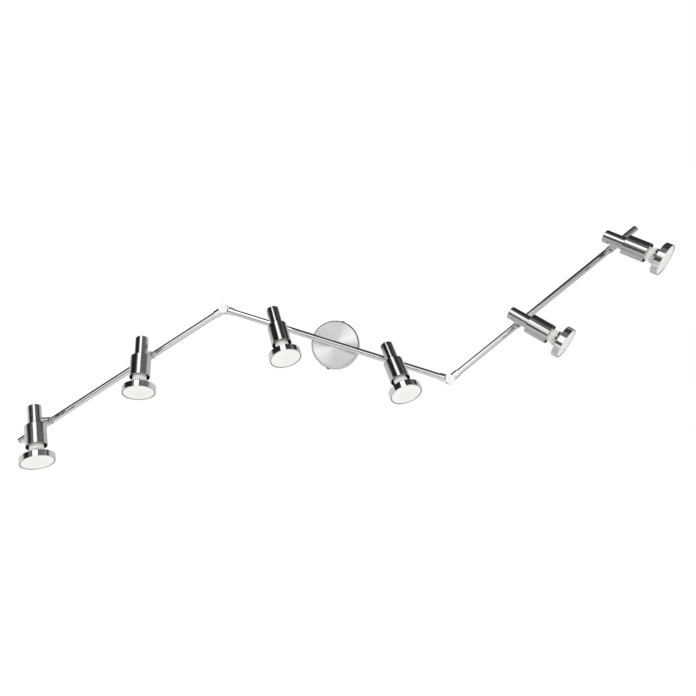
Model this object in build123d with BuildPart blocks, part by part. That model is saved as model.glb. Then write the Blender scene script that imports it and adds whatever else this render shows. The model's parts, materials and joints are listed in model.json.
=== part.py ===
from build123d import *
from math import cos, radians, sin
import os

# Swivel-arm spotlight bar: three bars in a zigzag, two knuckles, a canopy and six spot heads.
# The wall is the plane y = 0 and the room is towards -Y. All sizes are in millimetres.

# Layout of the bars, seen from the room, in degrees and millimetres
centre_half = 199.0  # middle of the centre bar to a knuckle pin
arm_length = 405.0  # knuckle pin to the free end of an arm
centre_droop = 17.7  # the centre bar falls to the right
left_fall = 33.2  # the left arm falls to the left
right_rise = 38.7  # the right arm rises to the right

# Spot heads: the bar each one stands on, its distance from the bar's reference point,
# its aim (degrees from straight down, towards the right) and its tilt out of the wall plane
centre_spacing = 97.0  # middle of the centre bar to a spot
inner_station = 144.0  # knuckle pin to the inner spot of an arm
end_margin = 61.0  # outer spot of an arm to its free end
outer_station = arm_length - end_margin
spots = [
    ("left", outer_station, 21.0, 21.0),
    ("left", inner_station, 9.0, 22.0),
    ("centre", -centre_spacing, 19.0, 24.5),
    ("centre", centre_spacing, 19.0, 29.5),
    ("right", inner_station, 52.5, 21.0),
    ("right", outer_station, 52.0, 26.5),
]

# Bars
bar_radius = 5.0
bar_wall = 1.0
plug_lip = 0.8  # thickness of the end plug outside the bar
plug_depth = 7.0
wire_radius = 3.0  # bore that carries the leads

# Knuckles
knuckle_radius = 8.0
knuckle_face = 0.75  # how far a knuckle's faces stand out past its collars
knuckle_gap = 0.3  # between the two halves
knuckle_edge = 0.6
collar_wall = 1.25  # round the end of a bar
collar_gap = 1.2  # edge of the other half's disc to the full round of the collar
collar_length = 8.3
seat_depth = 5.5  # how far the bar enters the collar
well_wall = 1.8  # round the ring-shaped space for the leads
well_floor = 2.65
boss_radius = 3.2
screw_radius = 2.0
screw_head_radius = 4.0
screw_head_depth = 1.6
turn_clearance = 0.05  # radial, shaft to hole
face_clearance = 0.1  # under the head of a screw that lets its piece turn

# Canopy and what is under it
canopy_radius = 41.0
canopy_depth = 20.0
canopy_wall = 1.2
canopy_edge = 3.4
bar_gap = 2.0  # canopy to the centre bar
bush_radius = 8.0
bush_depth = 6.0
nipple_radius = 4.0
nipple_depth = 9.0
stem_radius = 4.8
bracket_width = 22.0
tab_width = 11.0
bracket_plate = 1.5
bracket_tab = 13.0  # height of the bent ends
bracket_gap = 0.6  # bent end to the inside of the canopy
wall_hole_radius = 2.5
wall_hole_half = 26.0  # centre to a wall screw
cable_hole_radius = 6.0
canopy_screw_radius = 1.5
canopy_screw_level = 8.0  # wall to the axis of a side screw
canopy_screw_head = 2.6
canopy_screw_height = 2.4
hole_clearance = 0.1
block_length = 13.0
block_width = 20.0
block_poles = 3
block_roof = 0.8  # block to the face of the bush
block_start = 8.0  # canopy centre to the block
block_well_radius = 1.6  # over each clamping screw
block_well_depth = 3.5
block_entry_radius = 1.3
block_entry_depth = 4.3
lead_radius = 0.8
lead_pitch = 1.9
lead_bend = 3.2
lead_level = 5.0  # wall to the leads where they leave the block

# Saddle washers and swivel posts
saddle_height = 3.5  # bar to the flat top of the washer
saddle_rim = 0.5  # washer and flange, outside the post
spigot_radius = 3.5
swivel_clearance = 0.3  # washer to post flange
flange_height = 1.6
post_radius = 5.6
round_height = 5.1  # flange to the end of the round part
tongue_thick = 8.0
tail_clearance = 1.5  # round part to the barrel's tail when the head points at the room
pin_radius = 1.5
post_bore = 2.1
exit_below = 9.0  # side exit of the leads, below the pin

# Spot heads, along the lamp axis from the tilt pin
pin_offset = 6.0  # tilt pin to the lamp axis
barrel_radius = 10.0
barrel_wall = 1.5
barrel_tail = 23.0
barrel_nose = 12.0
slot_clearance = 0.3
edge_chamfer = 0.4
sleeve_radius = 15.6
sleeve_wall = 1.2
sleeve_length = 36.0
shoulder_wall = 1.5
holder_gap = 2.4  # holder to the inside of the sleeve
holder_length = 14.5
contact_spacing = 5.0  # lamp axis to a contact pin
contact_radius = 1.5
contact_head = 2.4
contact_length = 6.5
contact_clearance = 0.4

# Reflector lamp, along its axis from the back of its neck
lamp_length = 48.0
lamp_radius = 25.0
lamp_wall_length = 10.5
lamp_rim = 1.2
lens_thick = 2.4
lens_recess = 0.5
neck_radius = 10.4
ring_radius = 12.2
ring_length = 3.0
flare_length = 6.5
flare_rim = 1.6  # step between the flare and the wall of the lamp
flare_lean = 0.3  # slope of the flare at its narrow end

room = Vector(0, -1, 0)
stand_off = canopy_depth + bar_gap + bar_radius  # wall to the axes of the bars
collar_radius = bar_radius + collar_wall
collar_start = knuckle_radius + collar_gap  # knuckle pin to the collar
knuckle_depth = 2 * (collar_radius + knuckle_face)  # both halves together, from back to front
half_depth = (knuckle_depth - knuckle_gap) / 2
well_radius = knuckle_radius - well_wall
well_depth = half_depth - well_floor
saddle_radius = post_radius + saddle_rim
saddle_top = bar_radius + saddle_height  # bar axis to the flat top of the washer
spigot_depth = saddle_top - bar_radius / 2  # from the top of the washer into the bar
bar_start = collar_start + collar_length - seat_depth
block_height = canopy_depth - canopy_wall - bush_depth - bracket_plate - block_roof
post_foot = saddle_top + swivel_clearance
post_round = post_foot + flange_height + round_height  # bar axis to the end of the round part
pivot_height = post_round + tail_clearance + barrel_tail  # bar axis to the tilt pin
barrel_bore = barrel_radius - barrel_wall
sleeve_bore = sleeve_radius - sleeve_wall
sleeve_end = barrel_nose + sleeve_length
holder_start = barrel_nose + shoulder_wall
holder_radius = sleeve_bore - holder_gap
lamp_back = holder_start + holder_length
lamp_face = lamp_back + lamp_length


def along(angle):
    # unit vector in the wall plane, turned from +X towards +Z
    return Vector(cos(radians(angle)), 0, sin(radians(angle)))


bar_centre = room * stand_off
centre_way = along(-centre_droop)
left_way = along(180 + left_fall)
right_way = along(right_rise)
left_pin = bar_centre - centre_way * centre_half
right_pin = bar_centre + centre_way * centre_half
screw_way = along(90 - centre_droop)  # from the canopy centre towards its upper side screw
ways = {"left": left_way, "centre": centre_way, "right": right_way}
starts = {"left": left_pin, "centre": bar_centre, "right": right_pin}


def spot_base(spot):
    bar, station, aim, tilt = spot
    return starts[bar] + ways[bar] * station


def spot_aim(spot):
    return along(spot[2] - 90)


def tilt_pin_way(spot):
    return spot_aim(spot).cross(room)


def lamp_way(spot):
    tilt = radians(spot[3])
    return spot_aim(spot) * cos(tilt) + room * sin(tilt)


def across_way(spot):
    return tilt_pin_way(spot).cross(lamp_way(spot))


def tilt_pivot(spot):
    return spot_base(spot) + room * pivot_height


def head_plane(spot, distance):
    # across the lamp axis, at a distance from the tilt pin; local -Y points away from the wall
    origin = tilt_pivot(spot) + across_way(spot) * pin_offset + lamp_way(spot) * distance
    return Plane(origin=origin, x_dir=tilt_pin_way(spot), z_dir=lamp_way(spot))


def save(piece, name):
    piece.part.label = name
    export_step(piece.part, f"parts/{name}.step")


def bases_on(bar):
    return [spot_base(spot) for spot in spots if spot[0] == bar]


def make_bar(name, bar, low, high):
    # round tube with a hole in its front wall under each spot
    with BuildPart() as tube:
        with BuildSketch(Plane(origin=starts[bar] + ways[bar] * low, z_dir=ways[bar])):
            Circle(bar_radius)
            Circle(bar_radius - bar_wall, mode=Mode.SUBTRACT)
        extrude(amount=high - low)
        for base in bases_on(bar):
            with BuildSketch(Plane(origin=base, z_dir=room)):
                Circle(spigot_radius + turn_clearance)
            extrude(amount=bar_radius + bar_wall, mode=Mode.SUBTRACT)
        if bar == "centre":
            with BuildSketch(Plane(origin=bar_centre, z_dir=-room)):
                Circle(wire_radius)
            extrude(amount=bar_radius + bar_wall, mode=Mode.SUBTRACT)
    save(tube, name)


def make_saddles(name, bar):
    # washers with a hollow back that sits on the bar and a flat top that the post turns on
    with BuildPart() as saddles:
        for base in bases_on(bar):
            with BuildSketch(Plane(origin=base, z_dir=room)):
                Circle(saddle_radius)
                Circle(spigot_radius + turn_clearance, mode=Mode.SUBTRACT)
            extrude(amount=saddle_top)
        for base in bases_on(bar):
            with BuildSketch(Plane(origin=base - ways[bar] * 2 * saddle_radius, z_dir=ways[bar])):
                Circle(bar_radius)
            extrude(amount=4 * saddle_radius, mode=Mode.SUBTRACT)
    save(saddles, name)


def make_plug(name, bar):
    with BuildPart() as plug:
        with BuildSketch(Plane(origin=starts[bar] + ways[bar] * arm_length, z_dir=-ways[bar])):
            Circle(bar_radius - bar_wall)
        extrude(amount=plug_depth)
        with BuildSketch(Plane(origin=starts[bar] + ways[bar] * arm_length, z_dir=ways[bar])):
            Circle(bar_radius)
        extrude(amount=plug_lip)
        chamfer(plug.faces().sort_by(Axis(bar_centre, ways[bar]))[-1].edges(), edge_chamfer)
    save(plug, name)


def make_knuckle(name, halves, side, screw_hole, screw_depth):
    # lapped disc with a round collar for the bar, and a ring-shaped well for the leads
    with BuildPart() as knuckle:
        for pin, way in halves:
            lap = Plane(origin=pin + side * knuckle_gap / 2, x_dir=way, z_dir=side)
            with BuildSketch(Plane(origin=pin, z_dir=way)):
                Circle(collar_radius)
            extrude(amount=collar_start + collar_length)
            with BuildSketch(lap):
                Circle(collar_start)
            extrude(amount=-knuckle_depth, mode=Mode.SUBTRACT)
            with BuildSketch(lap):
                Circle(knuckle_radius)
            extrude(amount=half_depth)
        outer_face = knuckle.faces().filter_by(Axis.Y).group_by(Axis(bar_centre, side))[-1]
        fillet(outer_face.edges(), knuckle_edge)
        for pin, way in halves:
            lap = Plane(origin=pin + side * knuckle_gap / 2, x_dir=way, z_dir=side)
            with BuildSketch(Plane(origin=pin + way * bar_start, z_dir=way)):
                Circle(bar_radius)
            extrude(amount=seat_depth, mode=Mode.SUBTRACT)
            with BuildSketch(Plane(origin=pin + way * boss_radius, z_dir=way)):
                Circle(wire_radius)
            extrude(amount=bar_start - boss_radius, mode=Mode.SUBTRACT)
            with BuildSketch(lap):
                Circle(well_radius)
                Circle(boss_radius, mode=Mode.SUBTRACT)
            extrude(amount=well_depth, mode=Mode.SUBTRACT)
            with BuildSketch(Plane(origin=pin, z_dir=side)):
                Circle(screw_hole)
            extrude(amount=screw_depth, mode=Mode.SUBTRACT)
            if side == room:
                with BuildSketch(Plane(origin=pin + room * knuckle_depth / 2, z_dir=-room)):
                    Circle(screw_head_radius + hole_clearance)
                extrude(amount=screw_head_depth + face_clearance, mode=Mode.SUBTRACT)
    save(knuckle, name)


def make_knuckle_screws():
    with BuildPart() as screws:
        for pin in (left_pin, right_pin):
            with BuildSketch(Plane(origin=pin + room * knuckle_depth / 2, z_dir=-room)):
                Circle(screw_head_radius)
            extrude(amount=screw_head_depth)
            with BuildSketch(Plane(origin=pin + room * knuckle_depth / 2, z_dir=-room)):
                Circle(screw_radius)
            extrude(amount=knuckle_depth - 2 * knuckle_edge)
    save(screws, "knuckle_screws")


def make_canopy():
    with BuildPart() as canopy:
        with BuildSketch(Plane.XZ):
            Circle(canopy_radius)
        extrude(amount=canopy_depth)
        fillet(canopy.faces().sort_by(Axis.Y)[0].edges(), canopy_edge)
        offset(amount=-canopy_wall, openings=canopy.faces().sort_by(Axis.Y)[-1])
        with BuildSketch(Plane.XZ.offset(canopy_depth - canopy_wall - bush_depth)):
            Circle(bush_radius)
        extrude(amount=bush_depth)
        with BuildSketch(Plane.XZ):
            Circle(nipple_radius)
        extrude(amount=canopy_depth, mode=Mode.SUBTRACT)
        for way in (screw_way, -screw_way):
            with BuildSketch(Plane(origin=room * canopy_screw_level, z_dir=way)):
                Circle(canopy_screw_radius + hole_clearance)
            extrude(amount=canopy_radius, mode=Mode.SUBTRACT)
    save(canopy, "canopy")


def make_canopy_screws():
    with BuildPart() as screws:
        for way in (screw_way, -screw_way):
            level = room * canopy_screw_level
            with BuildSketch(Plane(origin=level + way * canopy_radius, z_dir=way)):
                Circle(canopy_screw_head)
            extrude(amount=canopy_screw_height)
            chamfer(screws.faces().sort_by(Axis(level, way))[-1].edges(), edge_chamfer)
            with BuildSketch(Plane(origin=level + way * canopy_radius, z_dir=-way)):
                Circle(canopy_screw_radius)
            extrude(amount=canopy_wall + bracket_gap + 2 * bracket_plate)
    save(screws, "canopy_screws")


def make_wall_bracket():
    # strip along the line of the side screws, its two ends bent forward
    reach = canopy_radius - canopy_wall - bracket_gap
    back = Plane(origin=(0, 0, 0), x_dir=screw_way, z_dir=room)
    with BuildPart() as bracket:
        with BuildSketch(back):
            Rectangle(2 * reach, bracket_width)
            Circle(canopy_radius - canopy_wall - hole_clearance, mode=Mode.INTERSECT)
            Circle(cable_hole_radius, mode=Mode.SUBTRACT)
            with Locations((wall_hole_half, 0), (-wall_hole_half, 0)):
                Circle(wall_hole_radius, mode=Mode.SUBTRACT)
        extrude(amount=bracket_plate)
        with BuildSketch(back):
            with Locations((reach - bracket_plate / 2, 0), (bracket_plate / 2 - reach, 0)):
                Rectangle(bracket_plate, tab_width)
        extrude(amount=bracket_tab)
        for way in (screw_way, -screw_way):
            with BuildSketch(Plane(origin=room * canopy_screw_level, z_dir=way)):
                Circle(canopy_screw_radius)
            extrude(amount=canopy_radius, mode=Mode.SUBTRACT)
    save(bracket, "wall_bracket")


def make_terminal_block():
    # three poles side by side, each with a wire bore and two screw wells
    pole = block_width / block_poles
    seat = Plane(origin=room * bracket_plate, x_dir=screw_way, z_dir=room)
    middle = block_start + block_length / 2
    with BuildPart() as block:
        with BuildSketch(seat):
            with Locations((middle, 0)):
                RectangleRounded(block_length, block_width, edge_chamfer)
        extrude(amount=block_height)
        with BuildSketch(seat.offset(block_height)):
            with Locations((middle, 0)):
                with GridLocations(block_length / 2, pole, 2, block_poles):
                    Circle(block_well_radius)
        extrude(amount=-block_well_depth, mode=Mode.SUBTRACT)
        entry = Plane(
            origin=room * lead_level + screw_way * (block_start + block_length),
            x_dir=centre_way,
            z_dir=screw_way,
        )
        with BuildSketch(entry):
            with GridLocations(pole, pole, block_poles, 1):
                Circle(block_entry_radius)
        extrude(amount=-block_entry_depth, mode=Mode.SUBTRACT)
    save(block, "terminal_block")


def make_lead_wires():
    # three leads from the block, bent into the bore of the stem
    with BuildPart() as leads:
        for step in (-1, 0, 1):
            shift = centre_way * lead_pitch * step
            exit_point = room * lead_level + screw_way * block_start + shift
            corner = room * lead_level + shift
            top = room * (canopy_depth - canopy_wall) + shift
            with BuildLine():
                FilletPolyline(exit_point, corner, top, radius=lead_bend)
            with BuildSketch(Plane(origin=exit_point, z_dir=-screw_way)):
                Circle(lead_radius)
            sweep()
    save(leads, "lead_wires")


def make_canopy_stem():
    nipple_start = canopy_depth - canopy_wall - nipple_depth
    with BuildPart() as stem:
        with BuildSketch(Plane.XZ.offset(canopy_depth)):
            Circle(stem_radius)
        extrude(amount=stand_off - canopy_depth)
        with BuildSketch(Plane.XZ.offset(nipple_start)):
            Circle(nipple_radius)
        extrude(amount=canopy_depth - nipple_start)
        with BuildSketch(Plane(origin=bar_centre - centre_way * 2 * stem_radius, z_dir=centre_way)):
            Circle(bar_radius)
        extrude(amount=4 * stem_radius, mode=Mode.SUBTRACT)
        with BuildSketch(Plane.XZ.offset(nipple_start)):
            Circle(wire_radius)
        extrude(amount=stand_off, mode=Mode.SUBTRACT)
    save(stem, "canopy_stem")


def make_post(name, spot):
    # spigot, flange and round foot, then a flat tongue with a rounded end round the tilt pin
    base = spot_base(spot)
    side = Plane(origin=tilt_pivot(spot), x_dir=spot_aim(spot), z_dir=tilt_pin_way(spot))
    with BuildPart() as post:
        with BuildSketch(Plane(origin=base + room * (saddle_top - spigot_depth), z_dir=room)):
            Circle(spigot_radius)
        extrude(amount=spigot_depth + swivel_clearance)
        with BuildSketch(Plane(origin=base + room * post_foot, z_dir=room)):
            Circle(saddle_radius)
        extrude(amount=flange_height)
        chamfer(post.faces().sort_by(Axis.Y)[0].edges(), edge_chamfer)
        with BuildSketch(Plane(origin=base + room * post_foot, z_dir=room)):
            Circle(post_radius)
        extrude(amount=pivot_height + post_radius - post_foot)
        with BuildSketch(Plane(origin=base + room * post_round, x_dir=spot_aim(spot), z_dir=room)):
            with GridLocations(0, tongue_thick + 2 * post_radius, 1, 2):
                Rectangle(2 * post_radius, 2 * post_radius)
        extrude(amount=pivot_height, mode=Mode.SUBTRACT)
        with BuildSketch(side):
            with Locations((0, post_radius)):
                Rectangle(2 * post_radius, 2 * post_radius)
            Circle(post_radius, mode=Mode.SUBTRACT)
        extrude(amount=post_radius, both=True, mode=Mode.SUBTRACT)
        with BuildSketch(side):
            Circle(pin_radius + turn_clearance)
        extrude(amount=tongue_thick, both=True, mode=Mode.SUBTRACT)
        with BuildSketch(Plane(origin=base, z_dir=room)):
            Circle(post_bore)
        extrude(amount=pivot_height - exit_below, mode=Mode.SUBTRACT)
        exit_point = tilt_pivot(spot) - room * exit_below
        with BuildSketch(Plane(origin=exit_point, z_dir=-spot_aim(spot))):
            Circle(post_bore)
        extrude(amount=2 * post_radius, mode=Mode.SUBTRACT)
    save(post, name)


def make_tilt_pin(name, spot):
    half = (barrel_radius**2 - pin_offset**2) ** 0.5 - slot_clearance
    with BuildPart() as pin:
        with BuildSketch(Plane(origin=tilt_pivot(spot), z_dir=tilt_pin_way(spot))):
            Circle(pin_radius)
        extrude(amount=half, both=True)
    save(pin, name)


def make_barrel(name, spot):
    # closed tube with a slot along its wall side, so that it can tilt over the tongue
    slot_end = post_radius + 2 * slot_clearance
    with BuildPart() as barrel:
        with BuildSketch(head_plane(spot, -barrel_tail)):
            Circle(barrel_radius)
        extrude(amount=barrel_tail + barrel_nose)
        chamfer(barrel.faces().sort_by(Axis(tilt_pivot(spot), lamp_way(spot)))[0].edges(), edge_chamfer)
        with BuildSketch(head_plane(spot, barrel_wall - barrel_tail)):
            Circle(barrel_bore)
        extrude(amount=barrel_tail + barrel_nose, mode=Mode.SUBTRACT)
        with BuildSketch(head_plane(spot, -barrel_tail)):
            with Locations((0, barrel_radius / 2)):
                Rectangle(tongue_thick + 2 * slot_clearance, barrel_radius)
        extrude(amount=barrel_tail + slot_end, mode=Mode.SUBTRACT)
        with BuildSketch(Plane(origin=tilt_pivot(spot), z_dir=tilt_pin_way(spot))):
            Circle(pin_radius)
        extrude(amount=barrel_radius, both=True, mode=Mode.SUBTRACT)
    save(barrel, name)


def make_sleeve(name, spot):
    with BuildPart() as sleeve:
        with BuildSketch(head_plane(spot, barrel_nose)):
            Circle(sleeve_radius)
        extrude(amount=sleeve_length)
        with BuildSketch(head_plane(spot, holder_start)):
            Circle(sleeve_bore)
        extrude(amount=sleeve_length, mode=Mode.SUBTRACT)
        chamfer(sleeve.faces().sort_by(Axis(tilt_pivot(spot), lamp_way(spot)))[0].edges(), edge_chamfer)
        with BuildSketch(head_plane(spot, barrel_nose)):
            Circle(wire_radius)
        extrude(amount=shoulder_wall, mode=Mode.SUBTRACT)
    save(sleeve, name)


def make_holder(name, spot):
    # ceramic socket with two blind holes for the lamp's contact pins
    with BuildPart() as holder:
        with BuildSketch(head_plane(spot, holder_start)):
            Circle(holder_radius)
            Circle(wire_radius / 2, mode=Mode.SUBTRACT)
        extrude(amount=holder_length)
        with BuildSketch(head_plane(spot, lamp_back)):
            with Locations((contact_spacing, 0), (-contact_spacing, 0)):
                Circle(contact_head + contact_clearance)
        extrude(amount=-contact_length - contact_clearance, mode=Mode.SUBTRACT)
    save(holder, name)


def make_lamp(name, spot):
    # neck, vent ring, flare and a straight rim, with two contact pins at the back
    wall_back = lamp_face - lamp_wall_length
    ring_end = wall_back - flare_length
    ring_start = ring_end - ring_length
    origin = head_plane(spot, 0).origin
    with BuildPart() as lamp:
        with BuildSketch(Plane(origin=origin, x_dir=tilt_pin_way(spot), z_dir=across_way(spot))):
            with BuildLine():
                Polyline(
                    (0, lamp_back),
                    (neck_radius, lamp_back),
                    (neck_radius, ring_start),
                    (ring_radius, ring_start),
                    (ring_radius, ring_end),
                )
                flare = TangentArc(
                    (ring_radius, ring_end), (lamp_radius - flare_rim, wall_back), tangent=(flare_lean, 1)
                )
                Polyline(
                    flare @ 1,
                    (lamp_radius, wall_back),
                    (lamp_radius, lamp_face),
                    (lamp_radius - lamp_rim, lamp_face),
                    (lamp_radius - lamp_rim, lamp_face - lens_recess - lens_thick),
                    (0, lamp_face - lens_recess - lens_thick),
                    (0, lamp_back),
                )
            make_face()
        revolve(axis=Axis(origin, lamp_way(spot)))
        for radius, reach in ((contact_radius, contact_length), (contact_head, contact_length / 3)):
            with BuildSketch(head_plane(spot, lamp_back - contact_length)):
                with Locations((contact_spacing, 0), (-contact_spacing, 0)):
                    Circle(radius)
            extrude(amount=reach)
    save(lamp, name)


def make_lens(name, spot):
    with BuildPart() as lens:
        with BuildSketch(head_plane(spot, lamp_face - lens_recess)):
            Circle(lamp_radius - lamp_rim)
        extrude(amount=-lens_thick)
    save(lens, name)


os.makedirs("parts", exist_ok=True)

make_wall_bracket()
make_terminal_block()
make_lead_wires()
make_canopy()
make_canopy_screws()
make_canopy_stem()
make_bar("centre_bar", "centre", bar_start - centre_half, centre_half - bar_start)
make_bar("left_arm_bar", "left", bar_start, arm_length)
make_bar("right_arm_bar", "right", bar_start, arm_length)
make_saddles("centre_saddles", "centre")
make_saddles("left_saddles", "left")
make_saddles("right_saddles", "right")
make_plug("left_end_plug", "left")
make_plug("right_end_plug", "right")
seat_ends = [(left_pin, centre_way), (right_pin, -centre_way)]
turning_hole = screw_radius + turn_clearance
make_knuckle("knuckle_seats", seat_ends, -room, screw_radius, knuckle_depth / 2 - knuckle_edge)
make_knuckle("left_knuckle_half", [(left_pin, left_way)], room, turning_hole, knuckle_depth)
make_knuckle("right_knuckle_half", [(right_pin, right_way)], room, turning_hole, knuckle_depth)
make_knuckle_screws()
for number, spot in enumerate(spots, start=1):
    make_post(f"spot_{number}_post", spot)
    make_tilt_pin(f"spot_{number}_pin", spot)
    make_barrel(f"spot_{number}_barrel", spot)
    make_sleeve(f"spot_{number}_sleeve", spot)
    make_holder(f"spot_{number}_holder", spot)
    make_lamp(f"spot_{number}_lamp", spot)
    make_lens(f"spot_{number}_lens", spot)
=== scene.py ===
import json
import math

import bmesh
import bpy
from mathutils import Matrix, Vector


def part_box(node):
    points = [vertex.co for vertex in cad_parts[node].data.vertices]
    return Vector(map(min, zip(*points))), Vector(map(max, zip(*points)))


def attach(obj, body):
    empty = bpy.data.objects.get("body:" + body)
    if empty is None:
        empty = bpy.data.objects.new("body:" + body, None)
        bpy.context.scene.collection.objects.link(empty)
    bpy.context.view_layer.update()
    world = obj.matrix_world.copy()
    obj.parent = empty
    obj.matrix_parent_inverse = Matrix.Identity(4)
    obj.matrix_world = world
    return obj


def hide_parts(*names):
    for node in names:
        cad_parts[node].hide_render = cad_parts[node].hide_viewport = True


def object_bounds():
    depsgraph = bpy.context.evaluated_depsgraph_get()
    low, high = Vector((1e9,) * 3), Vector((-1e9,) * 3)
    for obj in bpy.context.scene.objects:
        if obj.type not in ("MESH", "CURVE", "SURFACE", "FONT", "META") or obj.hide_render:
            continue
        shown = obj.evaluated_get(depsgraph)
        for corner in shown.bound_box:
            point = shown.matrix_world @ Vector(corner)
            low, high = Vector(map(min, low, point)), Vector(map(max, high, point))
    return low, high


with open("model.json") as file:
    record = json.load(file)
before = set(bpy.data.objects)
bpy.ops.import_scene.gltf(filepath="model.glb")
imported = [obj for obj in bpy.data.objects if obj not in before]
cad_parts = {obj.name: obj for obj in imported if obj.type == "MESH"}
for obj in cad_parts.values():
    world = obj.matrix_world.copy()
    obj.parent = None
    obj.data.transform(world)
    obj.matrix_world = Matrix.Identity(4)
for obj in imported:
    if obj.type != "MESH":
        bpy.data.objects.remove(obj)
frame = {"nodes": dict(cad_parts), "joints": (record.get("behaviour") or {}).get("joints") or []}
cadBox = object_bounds()
print("frame loaded,", len(frame["nodes"]), "nodes")

mm = 0.001
spotNumbers = range(1, 7)
joints = {joint["name"]: joint for joint in frame["joints"]}
roomWay = Vector((0, -1, 0))
rightWay = Vector((1, 0, 0))


# how the pieces lie: each place is a matrix whose z axis runs along the piece

def placeAlong(origin, zAxis, xAxis):
    zAxis = zAxis.normalized()
    yAxis = zAxis.cross(xAxis).normalized()
    place = Matrix((yAxis.cross(zAxis), yAxis, zAxis)).transposed().to_4x4()
    place.translation = origin
    return place


def middleOf(node):
    low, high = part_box(node)
    return (low + high) / 2


def facingRoom(origin):
    return placeAlong(origin, roomWay, rightWay)


head = {"axisOffset": 6 * mm, "lensThick": 2.4 * mm, "lensRecess": 0.5 * mm}


def headPlace(number):
    # along the lamp axis, from the point beside the tilt pin; y points to the wall side
    joint = joints[f"spot_{number}_tilt"]
    pin = Vector(joint["pos_m"])
    pinAxis = Vector(joint["axis"])
    reach = middleOf(f"spot_{number}_lens") - pin
    lean = math.asin(head["axisOffset"] / reach.length)
    lampAxis = Matrix.Rotation(-lean, 3, pinAxis) @ reach.normalized()
    across = pinAxis.cross(lampAxis)
    return placeAlong(pin + across * head["axisOffset"], lampAxis, pinAxis)


def barPlace(node, towards):
    # along a bar, from its middle towards another node
    middle = middleOf(node)
    return placeAlong(middle, middleOf(towards) - middle, -roomWay)


heads = {number: headPlace(number) for number in spotNumbers}
bars = {
    "centre_bar": barPlace("centre_bar", "right_knuckle_half"),
    "left_arm_bar": barPlace("left_arm_bar", "left_end_plug"),
    "right_arm_bar": barPlace("right_arm_bar", "right_end_plug"),
}
wallPlace = facingRoom(Vector())
print("places worked out")


# shader helpers

def newGroup(name, inputs, outputs):
    group = bpy.data.node_groups.new(name, "ShaderNodeTree")
    for label, kind, value in inputs:
        socket = group.interface.new_socket(label, in_out="INPUT", socket_type=kind)
        if value is not None:
            socket.default_value = value
    for label, kind in outputs:
        group.interface.new_socket(label, in_out="OUTPUT", socket_type=kind)
    return group, group.nodes.new("NodeGroupInput"), group.nodes.new("NodeGroupOutput")


def put(value, socket, links):
    if isinstance(value, bpy.types.NodeSocket):
        links.new(value, socket)
    else:
        socket.default_value = value


def mathNode(tree, operation, *values, clamp=False):
    node = tree.nodes.new("ShaderNodeMath")
    node.operation = operation
    node.use_clamp = clamp
    for socket, value in zip(node.inputs, values):
        put(value, socket, tree.links)
    return node.outputs[0]


def sumNode(tree, base, *terms):
    # the base plus each value times its weight
    total = base
    for value, weight in terms:
        total = mathNode(tree, "ADD", total, mathNode(tree, "MULTIPLY", value, weight))
    return total


def rangeNode(tree, value, fromMin, fromMax, toMin=0.0, toMax=1.0):
    node = tree.nodes.new("ShaderNodeMapRange")
    node.interpolation_type = "SMOOTHSTEP"
    labels = ("Value", "From Min", "From Max", "To Min", "To Max")
    for label, number in zip(labels, (value, fromMin, fromMax, toMin, toMax)):
        put(number, node.inputs[label], tree.links)
    return node.outputs["Result"]


def noiseNode(tree, vector, scale, detail=2.0, roughness=0.5):
    node = tree.nodes.new("ShaderNodeTexNoise")
    put(vector, node.inputs["Vector"], tree.links)
    put(scale, node.inputs["Scale"], tree.links)
    node.inputs["Detail"].default_value = detail
    node.inputs["Roughness"].default_value = roughness
    return node.outputs["Fac"]


def cellNode(tree, vector, scale, randomness):
    node = tree.nodes.new("ShaderNodeTexVoronoi")
    put(vector, node.inputs["Vector"], tree.links)
    node.inputs["Scale"].default_value = scale
    node.inputs["Randomness"].default_value = randomness
    return node.outputs


def mixColour(tree, factor, first, second):
    node = tree.nodes.new("ShaderNodeMix")
    node.data_type = "RGBA"
    put(factor, node.inputs[0], tree.links)
    put(first, node.inputs[6], tree.links)
    put(second, node.inputs[7], tree.links)
    return node.outputs[2]


def vectorNode(tree, operation, *values):
    node = tree.nodes.new("ShaderNodeVectorMath")
    node.operation = operation
    for socket, value in zip(node.inputs, values):
        put(value, socket, tree.links)
    return node.outputs


def splitNode(tree, vector):
    node = tree.nodes.new("ShaderNodeSeparateXYZ")
    tree.links.new(vector, node.inputs[0])
    return node.outputs


noises = {  # scale, detail and roughness
    "fineLines": (3200.0, 3.0, 0.65), "broadLines": (900.0, 2.0, 0.5), "linePatches": (60.0, 4.0, 0.6),
    "rings": (2600.0, 3.0, 0.7), "ringPatches": (45.0, 4.0, 0.6), "edgePatches": (700.0, 3.0, 0.6),
    "specklePatches": (90.0, 3.0, 0.6),
}
lineStretch = 0.02
fineShare, broadShare = 0.6, 0.4
ringDrift = 0.03
edgeRound = {"radius": 0.25 * mm, "samples": 6, "flat": 0.995, "sharp": 0.86}


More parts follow.
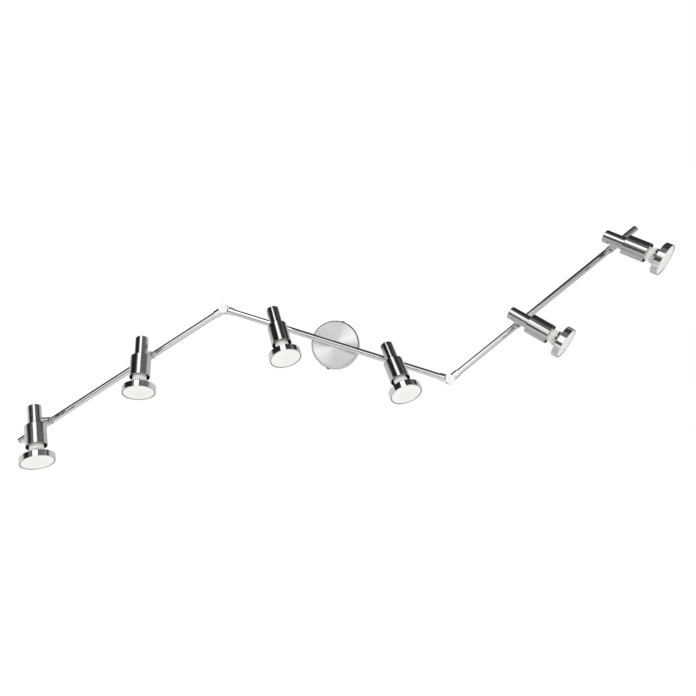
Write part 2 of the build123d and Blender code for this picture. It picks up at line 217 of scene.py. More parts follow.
def buildBrushedGroup():
    # fine lines along z, with slow patches over them
    group, source, result = newGroup(
        "brushedLines",
        [("Vector", "NodeSocketVector", None), ("Fineness", "NodeSocketFloat", 1.0)],
        [("Lines", "NodeSocketFloat"), ("Patches", "NodeSocketFloat")],
    )
    vector = source.outputs["Vector"]
    stretched = vectorNode(group, "MULTIPLY", vector, (1.0, 1.0, lineStretch))[0]
    fineness = group.nodes.new("ShaderNodeVectorMath")
    fineness.operation = "SCALE"
    group.links.new(stretched, fineness.inputs[0])
    group.links.new(source.outputs["Fineness"], fineness.inputs["Scale"])
    fine = noiseNode(group, fineness.outputs[0], *noises["fineLines"])
    broad = noiseNode(group, fineness.outputs[0], *noises["broadLines"])
    lines = sumNode(group, mathNode(group, "MULTIPLY", fine, fineShare), (broad, broadShare))
    group.links.new(lines, result.inputs["Lines"])
    group.links.new(noiseNode(group, vector, *noises["linePatches"]), result.inputs["Patches"])
    return group


def buildTurnedGroup():
    # rings round z, as a lathe or a spinning pad leaves them
    group, source, result = newGroup(
        "turnedRings",
        [("Vector", "NodeSocketVector", None), ("Fineness", "NodeSocketFloat", 1.0)],
        [("Lines", "NodeSocketFloat"), ("Patches", "NodeSocketFloat"), ("Radius", "NodeSocketFloat")],
    )
    vector = source.outputs["Vector"]
    flat = vectorNode(group, "MULTIPLY", vector, (1.0, 1.0, 0.0))[0]
    radius = vectorNode(group, "LENGTH", flat)["Value"]
    ringPlace = group.nodes.new("ShaderNodeCombineXYZ")
    group.links.new(mathNode(group, "MULTIPLY", radius, source.outputs["Fineness"]), ringPlace.inputs[0])
    drift = vectorNode(group, "MULTIPLY", vector, (ringDrift, ringDrift, ringDrift))[0]
    shifted = vectorNode(group, "ADD", ringPlace.outputs[0], drift)[0]
    group.links.new(noiseNode(group, shifted, *noises["rings"]), result.inputs["Lines"])
    group.links.new(noiseNode(group, vector, *noises["ringPatches"]), result.inputs["Patches"])
    group.links.new(radius, result.inputs["Radius"])
    return group


def buildEdgeGroup():
    # 1 on sharp outer edges, broken up by noise, and a normal that rounds them
    group, source, result = newGroup(
        "edgeWear",
        [("Vector", "NodeSocketVector", None), ("Breakup", "NodeSocketFloat", 0.5)],
        [("Wear", "NodeSocketFloat"), ("Normal", "NodeSocketVector")],
    )
    bevel = group.nodes.new("ShaderNodeBevel")
    bevel.samples = edgeRound["samples"]
    bevel.inputs["Radius"].default_value = edgeRound["radius"]
    shape = group.nodes.new("ShaderNodeNewGeometry")
    turn = vectorNode(group, "DOT_PRODUCT", bevel.outputs[0], shape.outputs["Normal"])["Value"]
    edge = rangeNode(group, turn, edgeRound["flat"], edgeRound["sharp"])
    patches = noiseNode(group, source.outputs["Vector"], *noises["edgePatches"])
    missing = mathNode(group, "MULTIPLY", patches, source.outputs["Breakup"])
    wear = mathNode(group, "SUBTRACT", edge, missing, clamp=True)
    group.links.new(wear, result.inputs["Wear"])
    group.links.new(bevel.outputs[0], result.inputs["Normal"])
    return group


def buildSpeckleGroup():
    # even fine grain, with slow patches over it
    group, source, result = newGroup(
        "speckle",
        [("Vector", "NodeSocketVector", None), ("Size", "NodeSocketFloat", 1500.0)],
        [("Grain", "NodeSocketFloat"), ("Patches", "NodeSocketFloat")],
    )
    vector = source.outputs["Vector"]
    group.links.new(noiseNode(group, vector, source.outputs["Size"], 4.0), result.inputs["Grain"])
    group.links.new(noiseNode(group, vector, *noises["specklePatches"]), result.inputs["Patches"])
    return group


groups = {
    "brushed": buildBrushedGroup(),
    "turned": buildTurnedGroup(),
    "edge": buildEdgeGroup(),
    "speckle": buildSpeckleGroup(),
}


def useGroup(tree, name, vector, **values):
    node = tree.nodes.new("ShaderNodeGroup")
    node.node_tree = groups[name]
    tree.links.new(vector, node.inputs["Vector"])
    for label, value in values.items():
        put(value, node.inputs[label], tree.links)
    return node.outputs


def startMaterial(name, place):
    # a Principled shader and the piece's own coordinates, z along the piece
    material = bpy.data.materials.new(name)
    material.use_nodes = True
    tree = material.node_tree
    shader = tree.nodes["Principled BSDF"]
    coordinates = tree.nodes.new("ShaderNodeTexCoord")
    mapping = tree.nodes.new("ShaderNodeMapping")
    turned = place.inverted()
    mapping.inputs["Location"].default_value = turned.translation
    mapping.inputs["Rotation"].default_value = turned.to_euler("XYZ")
    tree.links.new(coordinates.outputs["Object"], mapping.inputs["Vector"])
    return material, tree, shader, mapping.outputs[0]


def link(tree, shader, **values):
    # Base_Color=colour puts the colour into Base Color
    for label, value in values.items():
        put(value, shader.inputs[label.replace("_", " ")], tree.links)


def bumpFrom(tree, height, strength, distance, normal=None):
    bump = tree.nodes.new("ShaderNodeBump")
    bump.inputs["Strength"].default_value = strength
    bump.inputs["Distance"].default_value = distance
    tree.links.new(height, bump.inputs["Height"])
    if normal is not None:
        tree.links.new(normal, bump.inputs["Normal"])
    return bump.outputs[0]


tubeLines = {"toneRange": (0.35, 0.65), "breakup": 0.6, "bump": 0.5}
satin = {
    "bright": (0.76, 0.755, 0.74, 1), "dull": (0.64, 0.635, 0.62, 1), "worn": (0.86, 0.86, 0.85, 1),
    "roughness": 0.05, "lineRoughness": 0.14, "patchRoughness": 0.05, "lineDepth": 0.012 * mm,
    "softEdges": True,
}
polished = {
    "bright": (0.86, 0.86, 0.85, 1), "dull": (0.82, 0.82, 0.81, 1), "worn": (0.88, 0.88, 0.87, 1),
    "roughness": 0.02, "lineRoughness": 0.04, "patchRoughness": 0.02, "lineDepth": 0.0005 * mm,
    "softEdges": False,
}
# near-black matte colour painted into the sleeve bore as its shade
paintedBoreShade = {"colour": (0.012, 0.012, 0.012, 1), "roughness": 0.3}


def platedTube(name, place, look=satin, fineness=1.0, bore=None):
    # plated tube with lines along it; what lies in the bore is painted near-black and matte, as the shade
    # down the bore
    material, tree, shader, vector = startMaterial(name, place)
    brushed = useGroup(tree, "brushed", vector, Fineness=fineness)
    edge = useGroup(tree, "edge", vector, Breakup=tubeLines["breakup"])
    lines, patches = brushed["Lines"], brushed["Patches"]
    tone = rangeNode(tree, lines, *tubeLines["toneRange"])
    colour = mixColour(tree, tone, look["dull"], look["bright"])
    colour = mixColour(tree, edge["Wear"], colour, look["worn"])
    rough = sumNode(
        tree, look["roughness"], (lines, look["lineRoughness"]), (patches, look["patchRoughness"])
    )
    metal = 1.0
    if bore:
        radius = useGroup(tree, "turned", vector)["Radius"]
        within = mathNode(tree, "LESS_THAN", radius, bore["radius"])
        past = mathNode(tree, "GREATER_THAN", splitNode(tree, vector)["Z"], bore["from"])
        inside = mathNode(tree, "MULTIPLY", within, past)
        # painted shade: past the mouth, the bore is made near-black and not metal
        colour = mixColour(tree, inside, colour, paintedBoreShade["colour"])
        rough = sumNode(tree, rough, (inside, paintedBoreShade["roughness"]))
        metal = mathNode(tree, "SUBTRACT", 1.0, inside)
    normal = edge["Normal"] if look["softEdges"] else None
    bump = bumpFrom(tree, lines, tubeLines["bump"], look["lineDepth"], normal)
    link(tree, shader, Base_Color=colour, Roughness=rough, Metallic=metal, Normal=bump)
    return material


disc = {
    "bright": (0.95, 0.95, 0.95, 1), "dull": (0.89, 0.89, 0.885, 1), "worn": (0.95, 0.95, 0.94, 1),
    "toneRange": (0.3, 0.7), "roughness": 0.33, "ringRoughness": 0.06, "ringDepth": 0.0006 * mm,
    "fineness": 1.0, "breakup": 0.5, "bump": 0.3, "stretch": 0.97,
}


def turnedDisc(name, place):
    # satin plate turned round its axis: the highlight fans out over the disc
    material, tree, shader, vector = startMaterial(name, place)
    lines = useGroup(tree, "turned", vector, Fineness=disc["fineness"])["Lines"]
    edge = useGroup(tree, "edge", vector, Breakup=disc["breakup"])
    tone = rangeNode(tree, lines, *disc["toneRange"])
    colour = mixColour(tree, tone, disc["dull"], disc["bright"])
    colour = mixColour(tree, edge["Wear"], colour, disc["worn"])
    rough = sumNode(tree, disc["roughness"], (lines, disc["ringRoughness"]))
    tangent = tree.nodes.new("ShaderNodeTangent")
    tangent.direction_type = "RADIAL"
    tangent.axis = "Y"
    bump = bumpFrom(tree, lines, disc["bump"], disc["ringDepth"], edge["Normal"])
    shader.inputs["Metallic"].default_value = 1.0
    shader.inputs["Anisotropic"].default_value = disc["stretch"]
    link(tree, shader, Base_Color=colour, Roughness=rough, Normal=bump, Tangent=tangent.outputs[0])
    return material


chromes = {
    "knuckle": {"tint": (0.90, 0.91, 0.92, 1), "roughness": 0.04},
    "knuckleScrew": {"tint": (0.84, 0.85, 0.86, 1), "roughness": 0.08},
    "canopyScrew": {"tint": (0.45, 0.455, 0.46, 1), "roughness": 0.15},
    "pin": {"tint": (0.90, 0.91, 0.92, 1), "roughness": 0.12},
    "reflector": {"tint": (0.88, 0.88, 0.87, 1), "roughness": 0.06},
}
chromePlate = {
    "worn": (0.78, 0.78, 0.77, 1), "smudgeRange": (0.45, 0.75), "smudge": 0.07,
    "ringDepth": 0.003 * mm, "fineness": 0.6, "breakup": 0.7, "bump": 0.2,
}


def chrome(name, place, kind):
    # polished plate with faint turning rings and smudges
    material, tree, shader, vector = startMaterial(name, place)
    look = chromes[kind]
    rings = useGroup(tree, "turned", vector, Fineness=chromePlate["fineness"])
    edge = useGroup(tree, "edge", vector, Breakup=chromePlate["breakup"])
    smudge = rangeNode(tree, rings["Patches"], *chromePlate["smudgeRange"])
    rough = sumNode(tree, look["roughness"], (smudge, chromePlate["smudge"]))
    colour = mixColour(tree, edge["Wear"], look["tint"], chromePlate["worn"])
    bump = bumpFrom(tree, rings["Lines"], chromePlate["bump"], chromePlate["ringDepth"], edge["Normal"])
    shader.inputs["Metallic"].default_value = 1.0
    link(tree, shader, Base_Color=colour, Roughness=rough, Normal=bump)
    return material


moulds = {
    "plug": {"colour": (0.035, 0.035, 0.035, 1), "dark": (0.02, 0.02, 0.02, 1), "roughness": 0.3},
    "nylon": {"colour": (0.84, 0.84, 0.80, 1), "dark": (0.78, 0.78, 0.72, 1), "roughness": 0.3},
    "ceramic": {"colour": (0.80, 0.78, 0.71, 1), "dark": (0.74, 0.71, 0.63, 1), "roughness": 0.45},
}
patchRange = (0.3, 0.7)
mouldSkin = {
    "scuff": (0.9, 0.9, 0.9, 1), "scuffShare": 0.3, "grainSize": 1500.0, "grainRoughness": 0.2,
    "grainDepth": 0.02 * mm, "breakup": 0.5, "bump": 0.4,
}


def moulded(name, place, kind):
    # moulded plastic or fired ceramic with a fine grain
    material, tree, shader, vector = startMaterial(name, place)
    look = moulds[kind]
    speckle = useGroup(tree, "speckle", vector, Size=mouldSkin["grainSize"])
    edge = useGroup(tree, "edge", vector, Breakup=mouldSkin["breakup"])
    patches = rangeNode(tree, speckle["Patches"], *patchRange)
    colour = mixColour(tree, patches, look["colour"], look["dark"])
    scuffs = mathNode(tree, "MULTIPLY", edge["Wear"], mouldSkin["scuffShare"])
    colour = mixColour(tree, scuffs, colour, mouldSkin["scuff"])
    rough = sumNode(tree, look["roughness"], (speckle["Grain"], mouldSkin["grainRoughness"]))
    bump = bumpFrom(tree, speckle["Grain"], mouldSkin["bump"], mouldSkin["grainDepth"], edge["Normal"])
    link(tree, shader, Base_Color=colour, Roughness=rough, Normal=bump)
    return material


zinc = {
    "dull": (0.50, 0.52, 0.55, 1), "bright": (0.68, 0.69, 0.70, 1), "spangles": 420.0,
    "roughness": 0.28, "spangleRoughness": 0.15, "grainSize": 900.0, "grainDepth": 0.02 * mm,
    "bump": 0.3,
}


def galvanised(name, place):
    # zinc plate with pale spangles
    material, tree, shader, vector = startMaterial(name, place)
    split = tree.nodes.new("ShaderNodeSeparateColor")
    tree.links.new(cellNode(tree, vector, zinc["spangles"], 1.0)["Color"], split.inputs[0])
    colour = mixColour(tree, split.outputs[0], zinc["dull"], zinc["bright"])
    rough = sumNode(tree, zinc["roughness"], (split.outputs[1], zinc["spangleRoughness"]))
    speckle = useGroup(tree, "speckle", vector, Size=zinc["grainSize"])
    bump = bumpFrom(tree, speckle["Grain"], zinc["bump"], zinc["grainDepth"])
    shader.inputs["Metallic"].default_value = 1.0
    link(tree, shader, Base_Color=colour, Roughness=rough, Normal=bump)
    return material


leads = {
    "pitch": 1.9 * mm, "left": (0.16, 0.06, 0.025, 1), "middle": (0.42, 0.55, 0.05, 1),
    "right": (0.03, 0.10, 0.45, 1), "dust": (0.3, 0.3, 0.28, 1), "dustShare": 0.25,
    "roughness": 0.25, "grainRoughness": 0.2, "grainSize": 800.0, "grainDepth": 0.02 * mm,
    "bump": 0.3,
}


def leadSleeves(name, place):
    # three leads side by side along x: brown, yellow-green and blue
    material, tree, shader, vector = startMaterial(name, place)
    across = splitNode(tree, vector)["X"]
    speckle = useGroup(tree, "speckle", vector, Size=leads["grainSize"])
    right = mathNode(tree, "GREATER_THAN", across, leads["pitch"] / 2)
    left = mathNode(tree, "LESS_THAN", across, -leads["pitch"] / 2)
    colour = mixColour(tree, right, leads["middle"], leads["right"])
    colour = mixColour(tree, left, colour, leads["left"])
    dust = mathNode(tree, "MULTIPLY", speckle["Patches"], leads["dustShare"])
    colour = mixColour(tree, dust, colour, leads["dust"])
    rough = sumNode(tree, leads["roughness"], (speckle["Grain"], leads["grainRoughness"]))
    bump = bumpFrom(tree, speckle["Grain"], leads["bump"], leads["grainDepth"])
    link(tree, shader, Base_Color=colour, Roughness=rough, Normal=bump)
    return material


def dress(node, material):
    for slotOfPiece in frame["nodes"][node].material_slots:
        slotOfPiece.material = material


# where the sleeve bore is painted dark as shade: inside this radius, past this depth
sleeveBore = {"radius": 15.0 * mm, "from": 14.0 * mm}


def dressFrame():
    for node, place in bars.items():
        dress(node, platedTube(f"polished_{node}", place, polished))
    dress("canopy", turnedDisc("satin_canopy", wallPlace))
    dress("canopy_stem", platedTube("satin_stem", wallPlace))
    for node in ("centre_saddles", "left_saddles", "right_saddles"):
        dress(node, platedTube(f"polished_{node}", wallPlace, polished, fineness=1.4))
    for node in ("knuckle_seats", "left_knuckle_half", "right_knuckle_half"):
        dress(node, chrome(f"chrome_{node}", facingRoom(middleOf(node)), "knuckle"))
    dress("knuckle_screws", chrome("chrome_knuckle_screws", wallPlace, "knuckleScrew"))
    dress("canopy_screws", chrome("chrome_canopy_screws", wallPlace, "canopyScrew"))
    dress("wall_bracket", galvanised("zinc_bracket", wallPlace))
    for node in ("left_end_plug", "right_end_plug"):
        dress(node, moulded(f"black_{node}", wallPlace, "plug"))
    dress("terminal_block", moulded("nylon_block", wallPlace, "nylon"))
    dress("lead_wires", leadSleeves("silicone_leads", wallPlace))
    for number in spotNumbers:
        spot, place = f"spot_{number}", heads[number]
        dress(f"{spot}_post", platedTube(f"satin_post_{number}", facingRoom(middleOf(f"{spot}_post"))))
        dress(f"{spot}_barrel", platedTube(f"satin_barrel_{number}", place))
        dress(f"{spot}_sleeve", platedTube(f"satin_sleeve_{number}", place, bore=sleeveBore))
        dress(f"{spot}_pin", chrome(f"steel_pin_{number}", place, "pin"))
        dress(f"{spot}_holder", moulded(f"ceramic_holder_{number}", place, "ceramic"))
    print("frame dressed")


# new pieces, modelled along z from their place and then put there

mergeDistance = 0.0001 * mm
smoothAngle = math.radians(38)


def finishPiece(mesh, name, number, replaced, material):
    bmesh.ops.remove_doubles(mesh, verts=mesh.verts, dist=mergeDistance)
    bmesh.ops.recalc_face_normals(mesh, faces=mesh.faces)
    bmesh.ops.transform(mesh, matrix=heads[number], verts=mesh.verts)
    data = bpy.data.meshes.new(name)
    mesh.to_mesh(data)
    mesh.free()
    for face in data.polygons:
        face.use_smooth = True
    data.set_sharp_from_angle(angle=smoothAngle)
    data.materials.append(material)
    piece = bpy.data.objects.new(name, data)
    bpy.context.scene.collection.objects.link(piece)
    body = f"spot_{number}_head"
    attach(piece, body)
    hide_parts(replaced)


def turnProfile(points, steps):
    # spins an axis-to-axis profile of (radius, height) points round z
    mesh = bmesh.new()
    corners = [mesh.verts.new((radius, 0, height)) for radius, height in points]
    edges = [mesh.edges.new(pair) for pair in zip(corners, corners[1:])]
    bmesh.ops.spin(
        mesh, geom=corners + edges, cent=(0, 0, 0), axis=(0, 0, 1), dvec=(0, 0, 0),
        angle=math.tau, steps=steps, use_merge=True, use_duplicate=False,
    )
    bmesh.ops.remove_doubles(mesh, verts=mesh.verts, dist=mergeDistance)
    bmesh.ops.recalc_face_normals(mesh, faces=mesh.faces)
    return mesh


# how near its radius and how upright a wall is, and the share of each column that is pushed
wallTest = {"radiusShare": 0.02, "slope": 0.3, "filled": 0.5}


def raisedColumns(mesh, low, high, look):
    # pushes columns of a wall's faces in or out, as ribs or vents, with gaps as wide
    chosen = []
    for face in mesh.faces:
        middle = face.calc_center_median()
        away = math.hypot(middle.x, middle.y) / look["radius"]
        onWall = abs(away - 1) < wallTest["radiusShare"] and abs(face.normal.z) < wallTest["slope"]
        turn = math.atan2(middle.y, middle.x) / math.tau * look["columns"]
        if onWall and low < middle.z < high and turn % 1.0 < wallTest["filled"]:
            chosen.append(face)
    bmesh.ops.inset_individual(
        mesh, faces=chosen, thickness=look["slant"], depth=look["height"], use_even_offset=True
    )


# the lamp, along its axis from the tilt pin
lamp = {
    "back": 28 * mm, "face": 76 * mm, "radius": 25 * mm, "wall": 10.5 * mm, "rim": 1.2 * mm,
    "flare": 6.5 * mm, "ring": 3 * mm, "steps": 96,
}
wallBack = lamp["face"] - lamp["wall"]
ringEnd = wallBack - lamp["flare"]
ringStart = ringEnd - lamp["ring"]

# the vent colour is painted shade, the dark seen down the vent holes
milky = {
    "pale": (0.93, 0.93, 0.90, 1), "warm": (0.86, 0.86, 0.81, 1), "vent": (0.16, 0.16, 0.15, 1),
    "roughness": 0.18, "grainRoughness": 0.12, "grainSize": 600.0, "grainDepth": 0.02 * mm,
    "bump": 0.3, "coat": 0.3, "coatRoughness": 0.1,
}


def milkyPlastic(name, place, ventShadeRadius=0.0):
    # milky plastic with a light gloss; what lies inside the given radius is painted dark, as the shade
    # inside open vent holes
    material, tree, shader, vector = startMaterial(name, place)
    speckle = useGroup(tree, "speckle", vector, Size=milky["grainSize"])
    patches = rangeNode(tree, speckle["Patches"], *patchRange)
    colour = mixColour(tree, patches, milky["pale"], milky["warm"])
    radius = useGroup(tree, "turned", vector)["Radius"]
    inVentShade = mathNode(tree, "LESS_THAN", radius, ventShadeRadius)
    colour = mixColour(tree, inVentShade, colour, milky["vent"])
    rough = sumNode(tree, milky["roughness"], (speckle["Grain"], milky["grainRoughness"]))
    bump = bumpFrom(tree, speckle["Grain"], milky["bump"], milky["grainDepth"])
    shader.inputs["Coat Weight"].default_value = milky["coat"]
    shader.inputs["Coat Roughness"].default_value = milky["coatRoughness"]
    link(tree, shader, Base_Color=colour, Roughness=rough, Normal=bump)
    return material


neck = {
    "radius": 10.0 * mm, "columns": 24, "height": 0.4 * mm, "slant": 0.12 * mm, "chamfer": 0.8 * mm,
    "collar": 3.0 * mm, "plain": 1.2 * mm, "overlap": 0.5 * mm,
}
contact = {
    "spacing": 5.0 * mm, "radius": 1.5 * mm, "length": 6.6 * mm, "headRadius": 2.4 * mm,
    "headLength": 2.0 * mm, "sunk": 0.1 * mm, "segments": 24,
}


def lampNeck(number):
    # ribbed neck with two contact pins with wider heads
    back, radius = lamp["back"], neck["radius"]
    ribStart, ribEnd = back + neck["collar"], ringStart - neck["plain"]
    top = ringStart + neck["overlap"]
    mesh = turnProfile([
        (0, back), (radius - neck["chamfer"], back), (radius, back + neck["chamfer"]),
        (radius, ribStart), (radius, ribEnd), (radius, top), (0, top),
    ], lamp["steps"])
    raisedColumns(mesh, ribStart, ribEnd, neck)
    pinEnd = back + contact["sunk"] - contact["length"]
    headEnd = pinEnd + contact["sunk"]
    cylinders = (
        (contact["radius"], contact["length"], pinEnd),
        (contact["headRadius"], contact["headLength"], headEnd),
    )
    for side in (-1, 1):
        for size, length, end in cylinders:
            shift = Matrix.Translation((side * contact["spacing"], 0, end + length / 2))
            bmesh.ops.create_cone(
                mesh, cap_ends=True, segments=contact["segments"], radius1=size, radius2=size,
                depth=length, matrix=shift,
            )
    material = milkyPlastic(f"milky_neck_{number}", heads[number])
    finishPiece(mesh, f"lamp_neck_{number}", number, f"spot_{number}_lamp", material)


vents = {"radius": 12.2 * mm, "columns": 28, "height": -0.7 * mm, "slant": 0.12 * mm, "bevel": 0.35 * mm}


def lampRing(number):
    # ring of vents between the neck and the flare
    radius, bevel = vents["radius"], vents["bevel"]
    mesh = turnProfile([
        (0, ringStart), (radius - bevel, ringStart), (radius, ringStart + bevel),
        (radius, ringEnd - bevel), (radius - bevel, ringEnd), (0, ringEnd),
    ], vents["columns"] * 4)
    raisedColumns(mesh, ringStart + bevel, ringEnd - bevel, vents)
    # painted shade: the vent dents are dark below half their depth, standing in for open holes
    darkRadius = radius + vents["height"] / 2
    material = milkyPlastic(f"milky_ring_{number}", heads[number], darkRadius)
    finishPiece(mesh, f"lamp_vent_ring_{number}", number, f"spot_{number}_lamp", material)


reflector = {
    "start": 11.6 * mm, "overlap": 0.3 * mm, "step": 1.6 * mm, "lip": 0.35 * mm, "flareSteps": 12,
}


def lampReflector(number):
    # concave flare, a step, the polished wall and the lip that holds the face
    radius, face, lip = lamp["radius"], lamp["face"], reflector["lip"]
    start, end = reflector["start"], radius - reflector["step"]
    flareBack = ringEnd - reflector["overlap"]
    profile = [(0, flareBack)]
    for step in range(reflector["flareSteps"] + 1):
        turn = step / reflector["flareSteps"] * math.pi / 2
        away = start + (end - start) * (1 - math.cos(turn))
        profile.append((away, flareBack + (wallBack - flareBack) * math.sin(turn)))
    inner = radius - lamp["rim"]
    bed = face - head["lensRecess"] - head["lensThick"]
    profile += [
        (radius - lip, wallBack), (radius, wallBack + lip), (radius, wallBack + 1.5 * lip),
        (radius, face - 2 * lip), (radius, face - 1.5 * lip), (radius - lip / 2, face - lip / 2),
        (radius - 1.4 * lip, face), (inner + lip, face), (inner, face - lip), (inner, bed), (0, bed),
    ]
    mesh = turnProfile(profile, lamp["steps"])
    material = chrome(f"bright_wall_{number}", heads[number], "reflector")
    finishPiece(mesh, f"lamp_reflector_{number}", number, f"spot_{number}_lamp", material)


# the dark edge colour is painted shade, for the gap between the face and the lamp's rim
frosted = {
    "pale": (0.88, 0.89, 0.85, 1), "warm": (0.83, 0.835, 0.77, 1), "chip": (0.62, 0.63, 0.58, 1),
    "paintedRimShade": (0.13, 0.13, 0.125, 1), "paleFrom": 24 * mm, "rimShadeRadius": 22.9 * mm,
    "chipSpacing": 6.5 * mm, "chipWander": 0.25, "chipRange": (0.14, 0.26), "chipField": 19.5 * mm,
    "chipShare": 0.22, "pimples": 1400.0, "pimpleWander": 0.4, "pimpleDepth": 0.12 * mm, "bump": 0.25,
    "roughness": 0.28, "grainRoughness": 0.2, "grainSize": 2500.0, "coat": 0.25, "coatRoughness": 0.15,
}


def frostedFace(name, place):
    # frosted disc with a pimpled surface, a dark ring painted at its edge as the shade in the gap at the
    # rim, and the chips faint behind it
    material, tree, shader, vector = startMaterial(name, place)
    radius = useGroup(tree, "turned", vector)["Radius"]
    outward = rangeNode(tree, radius, 0.0, frosted["paleFrom"])
    colour = mixColour(tree, outward, frosted["warm"], frosted["pale"])
    flat = vectorNode(tree, "MULTIPLY", vector, (1.0, 1.0, 0.0))[0]
    chips = cellNode(tree, flat, 1.0 / frosted["chipSpacing"], frosted["chipWander"])["Distance"]
    near = rangeNode(tree, chips, *frosted["chipRange"], 1.0, 0.0)
    within = mathNode(tree, "LESS_THAN", radius, frosted["chipField"])
    faint = mathNode(tree, "MULTIPLY", mathNode(tree, "MULTIPLY", near, within), frosted["chipShare"])
    colour = mixColour(tree, faint, colour, frosted["chip"])
    # painted shade: the face is dark outside this radius
    paintedRimShade = mathNode(tree, "GREATER_THAN", radius, frosted["rimShadeRadius"])
    colour = mixColour(tree, paintedRimShade, colour, frosted["paintedRimShade"])
    speckle = useGroup(tree, "speckle", vector, Size=frosted["grainSize"])
    rough = sumNode(tree, frosted["roughness"], (speckle["Grain"], frosted["grainRoughness"]))
    pimples = cellNode(tree, vector, frosted["pimples"], frosted["pimpleWander"])["Distance"]
    bump = bumpFrom(tree, pimples, frosted["bump"], frosted["pimpleDepth"])
    shader.inputs["Coat Weight"].default_value = frosted["coat"]
    shader.inputs["Coat Roughness"].default_value = frosted["coatRoughness"]
    link(tree, shader, Base_Color=colour, Roughness=rough, Normal=bump)
    return material


faceDisc = {
    "gap": 0.05 * mm, "chamfer": 0.3 * mm, "groove": 0.2 * mm, "ledge": 2.0 * mm, "slope": 0.4 * mm,
    "crown": 0.35 * mm, "crownSteps": 8,
}


def lampFace(number):
    # gently crowned disc with a pressed ring near its edge
    radius = lamp["radius"] - lamp["rim"] - faceDisc["gap"]
    top = lamp["face"] - head["lensRecess"]
    bottom = top - head["lensThick"] + faceDisc["gap"]
    groove, rise = top - faceDisc["groove"], radius - faceDisc["ledge"]
    points = [
        (0, bottom), (radius, bottom), (radius, groove - faceDisc["chamfer"]),
        (radius - faceDisc["chamfer"], groove), (rise + faceDisc["slope"], groove), (rise, top),
    ]
    for step in reversed(range(faceDisc["crownSteps"])):
        share = step / faceDisc["crownSteps"]
        points.append((rise * share, top + faceDisc["crown"] * (1 - share ** 2)))
    mesh = turnProfile(points, lamp["steps"])
    material = frostedFace(f"frosted_{number}", heads[number])
    finishPiece(mesh, f"lamp_face_{number}", number, f"spot_{number}_lens", material)


def makeLamps():
    for number in spotNumbers:
        lampNeck(number)
        lampRing(number)
        lampReflector(number)
        lampFace(number)
    print("lamps made")


# stage, light and camera

studio = {
    "background": 1.0, "diffuse": 1.12, "base": 0.16,
    "panels": [  # azimuth and elevation of the middle, half sizes, soft edge in degrees, brightness
        ("belowAll", 0, -50, 180, 40, 12, 0.50),
        ("nadir", 0, -78, 180, 22, 12, 0.75),
        ("belowFront", -8, -28, 62, 19, 8, 0.95),
        ("leftLow", -115, -12, 52, 26, 8, 0.60),
        ("leftSide", -122, 2, 42, 11, 8, 0.70),
        ("window", -13, 12.5, 29, 18.5, 4, 1.10),
        ("rightSide", 145, 10, 40, 22, 10, 0.60),
        ("thinDark", -56, -13, 14, 8, 3, 0.06),
        ("frontLine", -17, -21, 17, 12, 4, 0.06),
        ("zenith", 0, 80, 180, 20, 8, 0.04),
        ("backTop", 180, 62, 70, 26, 8, 0.015),
        ("leftTop", -93, 39, 53, 21, 5, 0.02),
    ],
}


def buildPanelGroup():
    # 1 inside a panel of the given middle and half sizes, fading over its soft edge
    labels = ("Azimuth", "Elevation", "MiddleAzimuth", "MiddleElevation", "HalfWidth", "HalfHeight", "Soft")
    inputs = [(label, "NodeSocketFloat", 0.0) for label in labels]
    group, source, result = newGroup("softPanel", inputs, [("Mask", "NodeSocketFloat")])
    values = source.outputs
    masks = []
    for angle, half in (("Azimuth", "HalfWidth"), ("Elevation", "HalfHeight")):
        away = mathNode(group, "SUBTRACT", values[angle], values[f"Middle{angle}"])
        away = mathNode(group, "ABSOLUTE", mathNode(group, "WRAP", away, 180.0, -180.0))
        past = mathNode(group, "DIVIDE", mathNode(group, "SUBTRACT", away, values[half]), values["Soft"])
        masks.append(rangeNode(group, past, -0.5, 0.5, 1.0, 0.0))
    group.links.new(mathNode(group, "MULTIPLY", *masks), result.inputs["Mask"])
    return group


def makeWorld():
    # reflections see a studio of soft panels; the background and the fill light are plain white
    world = bpy.data.worlds.new("studio")
    bpy.context.scene.world = world
    world.use_nodes = True
    world.cycles.sampling_method = "NONE"
    tree = world.node_tree
    background = tree.nodes["Background"]
    coordinates = tree.nodes.new("ShaderNodeTexCoord")
    way = splitNode(tree, coordinates.outputs["Generated"])
    forward = mathNode(tree, "MULTIPLY", way["Y"], -1.0)
    degree = math.degrees(1)
    azimuth = mathNode(tree, "MULTIPLY", mathNode(tree, "ARCTAN2", way["X"], forward), degree)
    elevation = mathNode(tree, "MULTIPLY", mathNode(tree, "ARCSINE", way["Z"]), degree)
    group = buildPanelGroup()
    light = studio["base"]
    for name, *sizes, brightness in studio["panels"]:
        panel = tree.nodes.new("ShaderNodeGroup")
        panel.node_tree = group
        panel.label = name
        for socket, value in zip(panel.inputs, (azimuth, elevation, *sizes)):
            put(value, socket, tree.links)
        mask = panel.outputs["Mask"]
        light = mathNode(tree, "MULTIPLY", light, mathNode(tree, "SUBTRACT", 1.0, mask))
        light = sumNode(tree, light, (mask, brightness))
    path = tree.nodes.new("ShaderNodeLightPath")
    extra = studio["diffuse"] - studio["background"]
    plain = sumNode(tree, studio["background"], (path.outputs["Is Diffuse Ray"], extra))
    mirrored = path.outputs["Is Glossy Ray"]
    straight = mathNode(tree, "SUBTRACT", 1.0, mirrored)
    strength = sumNode(tree, mathNode(tree, "MULTIPLY", mirrored, light), (straight, plain))
    tree.links.new(strength, background.inputs["Strength"])
    background.inputs["Color"].default_value = (1, 1, 1, 1)


lights = {
    "overheadPanel": {
        "at": (-0.33, -0.95, 0.97), "aim": (-0.05, -0.05, 0.0), "size": (0.60, 0.85),
        "radiance": 1.5, "mirrored": True,
    },
    "softFill": {
        "at": (-1.2, -1.6, 1.2), "aim": (0, 0, 0), "size": (1.2, 1.2),
        "radiance": 0.35, "mirrored": False,
    },
}


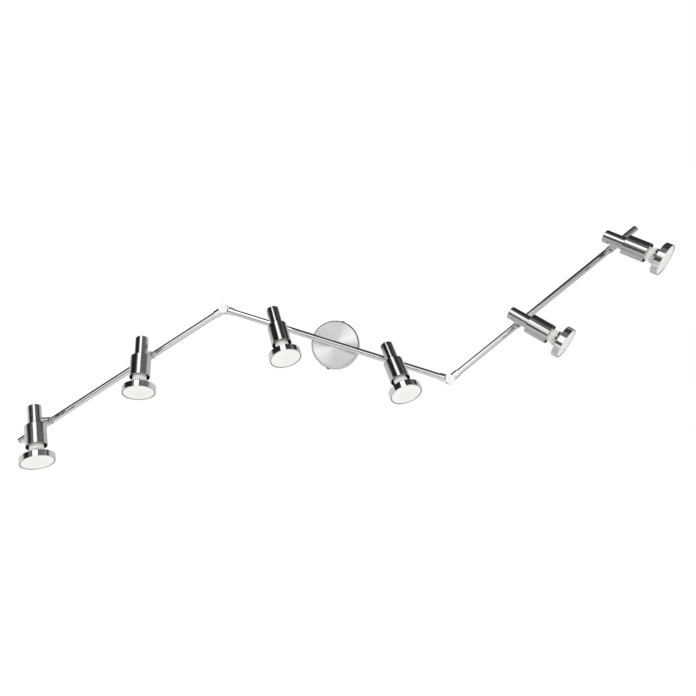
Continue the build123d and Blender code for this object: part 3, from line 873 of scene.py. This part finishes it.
def makeLights():
    for name, look in lights.items():
        data = bpy.data.lights.new(name, "AREA")
        data.shape = "RECTANGLE"
        data.size, data.size_y = look["size"]
        data.energy = look["radiance"] * math.pi * data.size * data.size_y
        lightObject = bpy.data.objects.new(name, data)
        lightObject.location = look["at"]
        way = Vector(look["aim"]) - Vector(look["at"])
        lightObject.rotation_euler = way.to_track_quat("-Z", "Y").to_euler()
        lightObject.visible_camera = False
        lightObject.visible_glossy = look["mirrored"]
        bpy.context.scene.collection.objects.link(lightObject)
    print("lights set")


floorLook = {"drop": 0.45, "size": 12.0, "colour": (0.93, 0.93, 0.92, 1), "roughness": 0.9}


def makeFloor():
    low = cadBox[0]
    mesh = bmesh.new()
    bmesh.ops.create_grid(mesh, x_segments=1, y_segments=1, size=floorLook["size"])
    bmesh.ops.translate(mesh, vec=(0, 0, low.z - floorLook["drop"]), verts=mesh.verts)
    data = bpy.data.meshes.new("floor")
    mesh.to_mesh(data)
    mesh.free()
    floor = bpy.data.objects.new("floor", data)
    bpy.context.scene.collection.objects.link(floor)
    material = bpy.data.materials.new("pale_floor")
    material.use_nodes = True
    shader = material.node_tree.nodes["Principled BSDF"]
    shader.inputs["Base Color"].default_value = floorLook["colour"]
    shader.inputs["Roughness"].default_value = floorLook["roughness"]
    shader.inputs["Specular IOR Level"].default_value = 0.0
    data.materials.append(material)
    floor.visible_glossy = False


shot = {
    "azimuth": 2.42, "elevation": -7.39, "distance": 914.95 * mm,
    "aim": (22.7 * mm, -50 * mm, -10.3 * mm), "lens": 29.02, "sensor": 36, "clip": (0.01, 50),
}


def makeCamera():
    azimuth, elevation = math.radians(shot["azimuth"]), math.radians(shot["elevation"])
    level = math.cos(elevation)
    back = Vector((math.sin(azimuth) * level, -math.cos(azimuth) * level, math.sin(elevation)))
    data = bpy.data.cameras.new("camera")
    data.sensor_width = shot["sensor"]
    data.lens = shot["lens"]
    data.clip_start, data.clip_end = shot["clip"]
    camera = bpy.data.objects.new("camera", data)
    camera.location = Vector(shot["aim"]) + back * shot["distance"]
    camera.rotation_euler = (-back).to_track_quat("-Z", "Y").to_euler()
    bpy.context.scene.collection.objects.link(camera)
    bpy.context.scene.camera = camera
    print("camera set")


makeCamera()
dressFrame()
makeLamps()
makeWorld()
makeLights()
makeFloor()
bpy.context.scene.view_settings.view_transform = "Standard"
